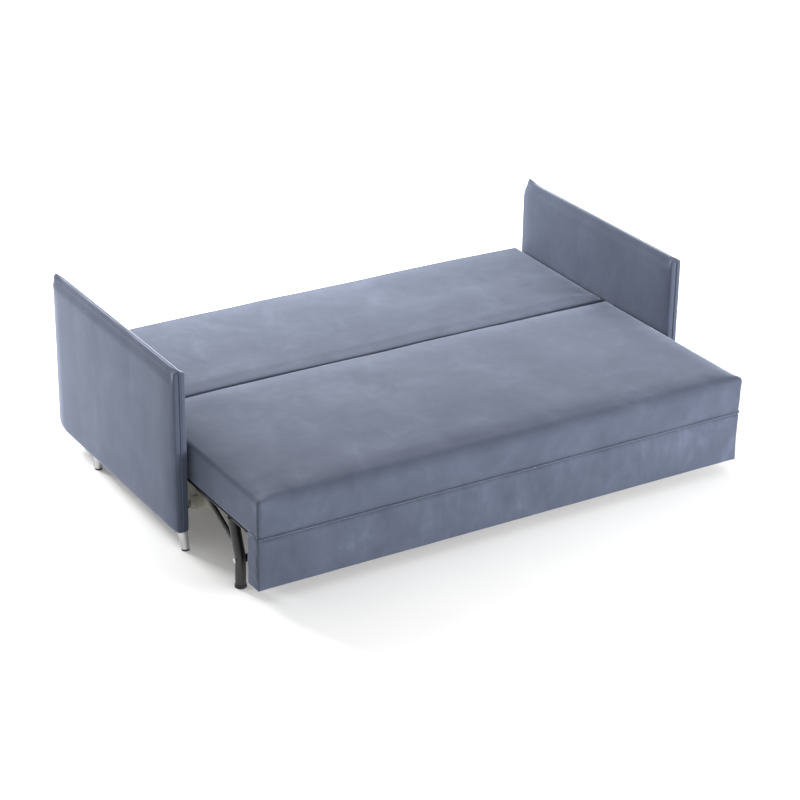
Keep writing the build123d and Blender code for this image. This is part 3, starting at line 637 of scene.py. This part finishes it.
def back_shape():
    """The back's cover, closed all round."""
    low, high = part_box("back_cushion")
    piece = soft_block("back_cover", low, high, (18 * MM, 12 * MM, 14 * MM, 9 * MM), (11 * MM, 11 * MM))
    flat = get_points(piece)
    p = flat.copy()
    tall = np.clip((p[:, 2] - low.z) / (high.z - low.z), 0, 1)
    from_front = p[:, 1] - low.y
    crown = dome(p[:, 0], low.x, high.x, 4.0) * dome(p[:, 1], low.y - 300 * MM, high.y + 120 * MM, 4.0)
    p[:, 2] += tall**2 * BACK_CROWN * crown * smoothstep(from_front, 40 * MM, 300 * MM)
    p[:, 2] += tall**2 * BACK_REAR_LIFT * smoothstep(p[:, 1], low.y + 200 * MM, high.y)
    # the front edge falls away towards the seat
    p[:, 2] -= tall**2 * BACK_FRONT_DROP * np.clip(1 - from_front / BACK_DROP_LENGTH, 0, 1) ** 1.8
    set_points(piece, p)
    inflate(piece, (tall < 0.03) | (flat[:, 1] < low.y + 60 * MM), 2 * MM)
    p = get_points(piece)
    p[:, 2] += tall * 0.7 * MM * waves(flat * (1, 1, 0.3), 0.3)
    set_points(piece, p)
    subdivide(piece)
    return piece


finish_pad(back_shape(), VELVET_TOP, "back", "back_cushion")

# ---------------------------------------------------------------- fascia

FASCIA_BELLY = 3 * MM


def fascia_shape():
    """The cover of the padded panel under the seat's front edge."""
    low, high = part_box("fascia_pad")
    radii = (5 * MM, 14 * MM, 3 * MM, 3 * MM)
    piece = soft_block("fascia_cover", low, high, radii, (5 * MM, 2 * MM), wider=4 * MM)
    flat = get_points(piece)
    p = flat.copy()
    front = np.clip(-get_points(piece, "normal")[:, 1], 0, 1)
    p[:, 1] -= front * FASCIA_BELLY * dome(p[:, 0], low.x, high.x, 8) * dome(p[:, 2], low.z, high.z, 3)
    p[:, 1] += front * 0.5 * MM * waves(flat * (1, 1, 0.4), 0.16)
    set_points(piece, p)
    inflate(piece, flat[:, 1] > low.y + 30 * MM, 2 * MM)
    subdivide(piece)
    return piece


finish_pad(fascia_shape(), VELVET_UPRIGHT, "seat", "fascia_pad")

# ---------------------------------------------------------------- arms: two padded halves sewn into a flange

# each: the thickness share left at the very edge, the taper's share, the round's length, the taper's length
EDGE_SHAPES = {
    "front inner": (0.36, 0.13, 2.2 * MM, 100 * MM),
    "front outer": (0.27, 0.24, 2.2 * MM, 100 * MM),
    "rear": (0.22, 0.26, 2.5 * MM, 70 * MM),
}
ARM_STEP = 15 * MM             # between the lattice lines on an arm's flat face
EDGE_STEP = 1.2 * MM           # the same at its edges
BELLY = {"inner": 1.0 * MM, "outer": 1.6 * MM}
FLANGE_PROUD = 4 * MM
FLANGE_DEPTH = 14 * MM         # how far the flange reaches in between the halves
FLANGE_HALF = 2.2 * MM
HEEL = 34 * MM                 # height of the rounded heel
HEEL_DEPTH = 24 * MM
REAR_SLANT = 10 * MM           # how far the upper rear corner is set forward
SLANT_HEIGHT = 60 * MM
EAR_SIZE = 34 * MM
EAR_PULL = np.array((7 * MM, 5 * MM, 5 * MM))


def graded(length, near, far):
    """Places from 0 to length, close together within the distances near (at 0) and far (at the end)."""
    places = [0.0]
    while places[-1] < length:
        gap_near = EDGE_STEP + places[-1] * ARM_STEP / near
        gap_far = EDGE_STEP + max(0.0, length - places[-1]) * ARM_STEP / far
        places.append(places[-1] + min(ARM_STEP, gap_near, gap_far))
    return np.array(places) * length / places[-1]


def edge_profile(distance, shape):
    """The share of the full thickness at a distance from an edge: a short round, then a long soft taper."""
    left, taper, short, long = EDGE_SHAPES[shape]
    swell = 1 - np.clip(1 - distance / long, 0, 1) ** 2
    return left + (1 - left - taper) * rise(distance, short) + taper * swell


def rear_inset(z, low, high):
    """How far the arm's rear edge is cut back: a little at the top, and round the heel at the bottom."""
    heel = np.clip(1 - (z - low.z) / HEEL, 0, 1)
    slant = np.clip((z - (high.z - SLANT_HEIGHT)) / SLANT_HEIGHT, 0, 1)
    return HEEL_DEPTH * (1 - np.sqrt(np.clip(1 - heel**2, 0, 1))) + REAR_SLANT * slant


def pull_ear(points, high):
    """The upper rear corner is drawn outwards, up and back into a small ear."""
    away = np.hypot(points[:, 1] - (high.y - REAR_SLANT), points[:, 2] - high.z)
    return points + bell(away, EAR_SIZE)[:, None] * EAR_PULL


def arm_half(side, word, layer):
    """One padded half of an arm: a height field over its middle plane. side: -1 left, 1 right."""
    low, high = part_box("arm_pad_right")
    middle = (low.x + high.x) / 2
    away = 1 if layer == "outer" else -1
    thick = (high.x - low.x) / 2
    along = graded(high.y - low.y, 150 * MM, 100 * MM)
    height = graded(high.z - low.z, 60 * MM, 60 * MM)
    from_front, up = [grid.ravel() for grid in np.meshgrid(along, height)]
    z = low.z + up
    depth = high.y - low.y
    y = low.y + from_front - rear_inset(z, low, high) * smoothstep(from_front, depth - 150 * MM, depth)
    from_top = high.z - z
    from_rear = high.y - rear_inset(z, low, high) - y
    # the top: a roll, then a slope out to the full thickness
    roll = 0.04 * bell(from_top - 9 * MM, 6 * MM)
    top = 0.15 + roll + 0.42 * rise(from_top, 3 * MM) + 0.43 * smoothstep(from_top, 13 * MM, 40 * MM)
    # the slope fills out at the front edge, where the roll ends in a blunt corner
    top += (0.96 - top) * (1 - smoothstep(from_front, 3 * MM, 32 * MM)) * smoothstep(from_top, 0, 9 * MM)
    edges = edge_profile(from_front, f"front {layer}") * edge_profile(from_rear, "rear")
    foot = 0.90 + 0.10 * rise(up, 5 * MM)
    belly = BELLY[layer] * dome(y, low.y, high.y, 4) * dome(z, low.z, high.z - 60 * MM, 3)
    # gathers fan out from the upper front corner, and the cloth is never quite flat
    spread = np.hypot(from_front, from_top)
    angle = np.arctan2(from_top, from_front)
    fade = np.exp(-spread / (90 * MM)) * smoothstep(spread, 20 * MM, 50 * MM)
    fan = np.sin(angle * 9 + 1.5 * np.sin(from_top * 23)) * fade
    flat = np.column_stack([np.full(len(y), middle), y, z])
    loose = smoothstep(np.minimum(np.minimum(from_front, from_rear), from_top), 4 * MM, 30 * MM)
    ripple = 0.9 * MM * fan + 0.4 * MM * waves(flat * (1, 1, 0.5), 0.18)
    out = edges * (thick * top * foot + belly) + ripple * loose
    face = flat + np.column_stack([away * out, 0 * y, 0 * z])
    inside = flat + np.array((away * 0.5 * MM, 0, 0))
    points = pull_ear(np.vstack([face, inside]), high)
    points[:, 0] *= side
    columns, rows = len(along), len(height)
    count = columns * rows
    quads = []
    for j in range(rows - 1):
        for i in range(columns - 1):
            n = j * columns + i
            quads.append((n, n + 1, n + columns + 1, n + columns))
            quads.append((count + n, count + n + columns, count + n + columns + 1, count + n + 1))
    rim = list(range(columns))
    rim += [j * columns + columns - 1 for j in range(1, rows)]
    rim += [(rows - 1) * columns + i for i in range(columns - 2, -1, -1)]
    rim += [j * columns for j in range(rows - 2, 0, -1)]
    for n, m in zip(rim, rim[1:] + rim[:1]):
        quads.append((m, n, count + n, count + m))
    piece = mesh_object(f"arm_{layer}_{word}", points, quads)
    tidy_normals(piece)
    return piece


def arm_flange(side, word):
    """The sewn edge that stands between the two halves, round the front, the top and the rear."""
    low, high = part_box("arm_pad_right")
    middle = (low.x + high.x) / 2
    outline = [(low.y, z) for z in np.linspace(low.z + 1 * MM, high.z - 8 * MM, 60)]
    corner = ((1.2 * MM, 3 * MM), (4 * MM, 0.8 * MM), (9 * MM, 0))
    outline += [(low.y + from_front, high.z - from_top) for from_front, from_top in corner]
    outline += [(y, high.z) for y in np.linspace(low.y + 20 * MM, high.y - REAR_SLANT - 2 * MM, 90)]
    heel_heights = low.z + HEEL * (1 - np.sin(np.linspace(0.12, 1.2, 9)))
    rear_heights = [*np.linspace(high.z - 2 * MM, low.z + HEEL, 50), *heel_heights]
    outline += [(high.y - rear_inset(z, low, high), z) for z in rear_heights]
    path = np.array(outline)
    ahead = directions(path)
    out = np.stack([-ahead[:, 1], ahead[:, 0]], 1)
    wander = 0.3 * MM * waves(np.column_stack([path, path[:, 0]]), 0.4)
    # half a section of the flange: how far out, and the share of its half thickness
    section = [(-FLANGE_DEPTH, 1.0)]
    section += [(FLANGE_PROUD - 1.6 * MM, 1.0), (FLANGE_PROUD - 0.4 * MM, 0.72), (FLANGE_PROUD, 0.3)]
    ring = section + [(reach, -width) for reach, width in section[::-1]]
    # the edge sinks in along the top, where the two halves nearly close over it
    on_top = smoothstep(path[:, 1], high.z - 12 * MM, high.z - 1 * MM)
    past_front = smoothstep(path[:, 0], low.y + 15 * MM, low.y + 50 * MM)
    short_of_rear = 1 - smoothstep(path[:, 0], high.y - 50 * MM, high.y - 20 * MM)
    sunk = FLANGE_PROUD * on_top * past_front * short_of_rear
    points = []
    for place, direction, shift, dip in zip(path, out, wander, sunk):
        for reach, width in ring:
            y, z = place + direction * (reach + (shift - dip if reach > 0 else 0))
            points.append((middle + width * FLANGE_HALF + shift * 0.5, y, max(z, low.z + 0.5 * MM)))
    points = pull_ear(np.array(points), high) * np.array((side, 1, 1))
    piece = sweep(f"arm_flange_{word}", points, len(ring))
    tidy_normals(piece)
    return piece


for side, word in ((-1, "left"), (1, "right")):
    for layer in ("inner", "outer"):
        finish_pad(arm_half(side, word, layer), VELVET_ARM, "base", f"arm_pad_{word}")
    finish_trim(arm_flange(side, word), VELVET_ARM, "base")

# ---------------------------------------------------------------- rear panel

radii = (2 * MM, 2 * MM, 6 * MM, 6 * MM)
panel = soft_block("rear_panel_fabric", *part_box("rear_panel_cover"), radii, (2 * MM, 6 * MM), step=24 * MM)
subdivide(panel)
finish_pad(panel, VELVET_UPRIGHT, "base", "rear_panel_cover")

# ---------------------------------------------------------------- floor, light and camera

FLOOR_HALF = 40.0              # metres
floor_corners = [(FLOOR_HALF * x, FLOOR_HALF * y, 0) for x, y in ((-1, -1), (1, -1), (1, 1), (-1, 1))]
floor = mesh_object("floor", floor_corners, [(0, 1, 2, 3)])
floor_paint = Paint("floor", Roughness=0.9, Specular_IOR_Level=0.1, Emission_Color=(1, 1, 1, 1))
floor_tones = [(0.3, (0.86, 0.86, 0.85)), (0.7, (0.88, 0.88, 0.87))]
floor_paint.colour(floor_paint.ramp(floor_paint.noise(3.0), floor_tones))
# the floor glows a little, and more from 1.8 to 6 m out, so that it stays evenly pale beyond the lights
distance = floor_paint.nodes.new("ShaderNodeVectorMath")
distance.operation = "LENGTH"
floor_paint.links.new(floor_paint.place, distance.inputs[0])
glow = floor_paint.remap(distance.outputs["Value"], 1.8, 6.0, 0.10, 0.75)
floor_paint.links.new(glow, floor_paint.shader.inputs["Emission Strength"])
floor.data.materials.append(floor_paint.material)

world = bpy.data.worlds.new("studio")
scene.world = world
world.use_nodes = True
background = world.node_tree.nodes["Background"]
background.inputs["Color"].default_value = (1.0, 1.0, 1.0, 1)
background.inputs["Strength"].default_value = 0.66


def area_light(name, place, target, size, power):
    """A rectangular lamp, unseen by the camera, that faces its target."""
    light = bpy.data.lights.new(name, "AREA")
    light.shape = "RECTANGLE"
    light.size, light.size_y = size
    light.energy = power
    lamp = bpy.data.objects.new(name, light)
    lamp.location = place
    lamp.rotation_mode = "QUATERNION"
    lamp.visible_camera = False
    lamp.rotation_quaternion = (Vector(target) - Vector(place)).to_track_quat("-Z", "Y")
    scene.collection.objects.link(lamp)


area_light("rear_high", (0.3, 4.0, 3.5), (0, 0.2, 0.3), (4.0, 2.0), 75)
area_light("rear_low", (0.2, 2.2, 1.2), (0, 0.4, 0.4), (3.0, 0.8), 84)
area_light("left_rear", (-1.9, 3.1, 1.7), (-0.6, 0.4, 0.4), (1.2, 1.2), 150)
area_light("front_right", (2.8, -4.9, 1.5), (0.0, -0.7, 0.3), (3.0, 2.0), 425)

CAMERA_PLACE = (-4.067, -6.631, 3.850)
CAMERA_TURN = (0.5493, -0.4365, 0.014)      # yaw from +Y towards +X, pitch and roll, in radians

camera_data = bpy.data.cameras.new("camera")
camera_data.sensor_width = 36
camera_data.lens = 106.6
camera_data.clip_end = 150
camera = bpy.data.objects.new("camera", camera_data)
scene.collection.objects.link(camera)
yaw, pitch, roll = CAMERA_TURN
forward = Vector((math.sin(yaw) * math.cos(pitch), math.cos(yaw) * math.cos(pitch), math.sin(pitch)))
level = Vector((math.cos(yaw), -math.sin(yaw), 0))
upward = level.cross(forward)
right = level * math.cos(roll) + upward * math.sin(roll)
up = right.cross(forward)
turn = Matrix((right, up, -forward)).transposed()
camera.matrix_world = Matrix.Translation(CAMERA_PLACE) @ turn.to_4x4()
scene.camera = camera
